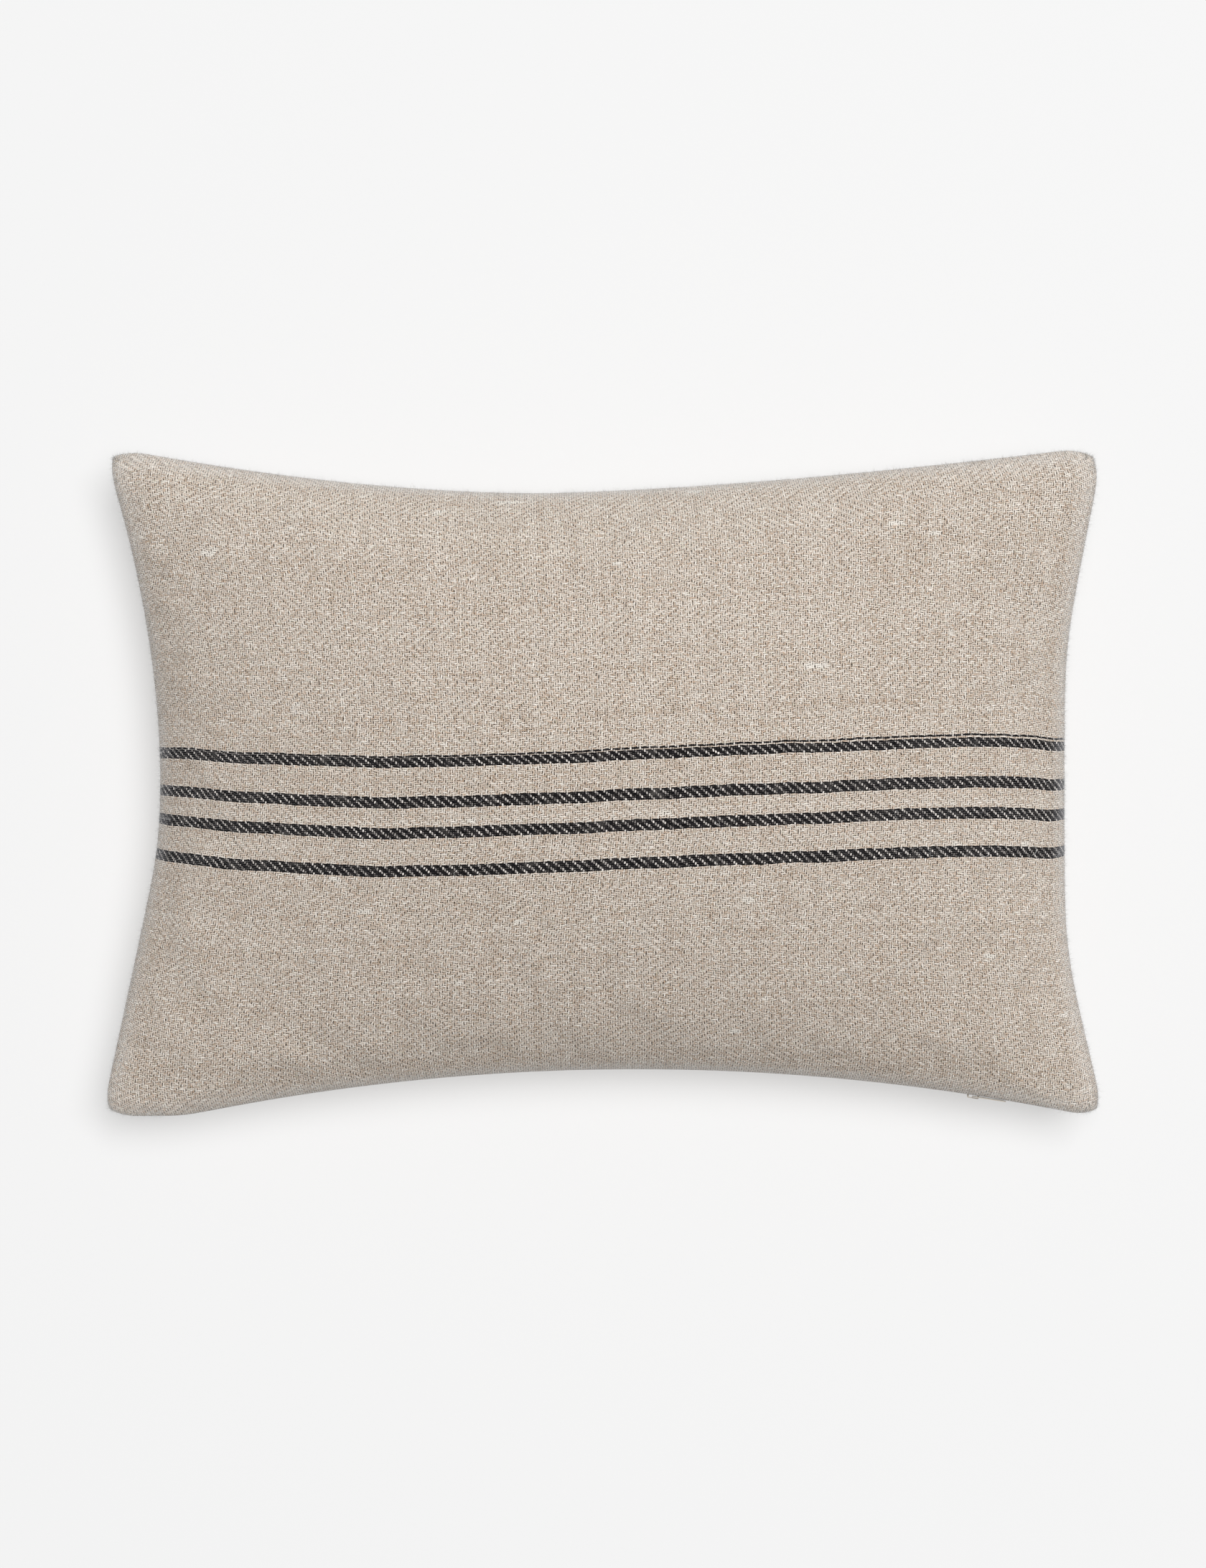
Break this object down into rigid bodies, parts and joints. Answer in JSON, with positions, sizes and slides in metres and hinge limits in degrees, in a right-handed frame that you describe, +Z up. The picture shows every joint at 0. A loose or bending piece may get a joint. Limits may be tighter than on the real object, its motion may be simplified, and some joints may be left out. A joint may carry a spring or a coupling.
{
  "type": "throw pillow",
  "caption": "Rectangular lumbar throw pillow: natural woven linen cover with black woven stripes, concealed zipper and a filled insert.",
  "frame": {"origin": "on the floor under the middle of the pillow lying on its back face", "axes": "+X along the length, +Y along the depth away from the zippered seam, +Z up out of the striped face"},
  "size_m": [0.5957, 0.3997, 0.15],
  "materials": {
    "striped_linen": "matte, coarse natural linen twill with four black woven stripes",
    "plain_linen": "matte, coarse natural linen twill",
    "sewing_thread": "matte polyester thread",
    "label_satin": "soft satin",
    "insert_calico": "matte plain-woven cotton",
    "loose_filling": "matte loose fibre",
    "zipper_tape": "matte woven polyester tape",
    "zipper_nylon": "semi-gloss nylon",
    "zipper_enamel": "satin enamel"
  },
  "bodies": {
    "pillow": {"front_panel": "striped_linen", "back_panel": "plain_linen", "cover_needle_thread": "sewing_thread", "cover_bobbin_thread": "sewing_thread", "cover_overlock_thread": "sewing_thread", "care_label": "label_satin", "insert_label": "label_satin", "insert_front_panel": "insert_calico", "insert_back_panel": "insert_calico", "insert_seam_thread": "sewing_thread", "insert_closing_thread": "sewing_thread", "filling": "loose_filling", "zipper_tape_front": "zipper_tape", "zipper_tape_back": "zipper_tape", "zipper_coil_front": "zipper_nylon", "zipper_coil_back": "zipper_nylon", "zipper_tape_thread_front": "sewing_thread", "zipper_tape_thread_back": "sewing_thread", "zipper_top_stop_front": "zipper_enamel", "zipper_top_stop_back": "zipper_enamel", "zipper_bottom_stop": "zipper_enamel"},
    "slider": {"zipper_slider": "zipper_enamel"},
    "pull": {"zipper_pull": "zipper_enamel"}
  },
  "joints": [
    {"name": "zipper_travel", "type": "hinge", "parent": "pillow", "child": "slider", "pos_m": [0.02, -1.5033, 0.072], "axis": [0, 0, 1], "range_deg": [0, 19.2]},
    {"name": "pull_swing", "type": "hinge", "parent": "slider", "child": "pull", "pos_m": [0.22286, -0.18977, 0.072], "axis": [0, 0, -1], "range_deg": [0, 175]}
  ]
}
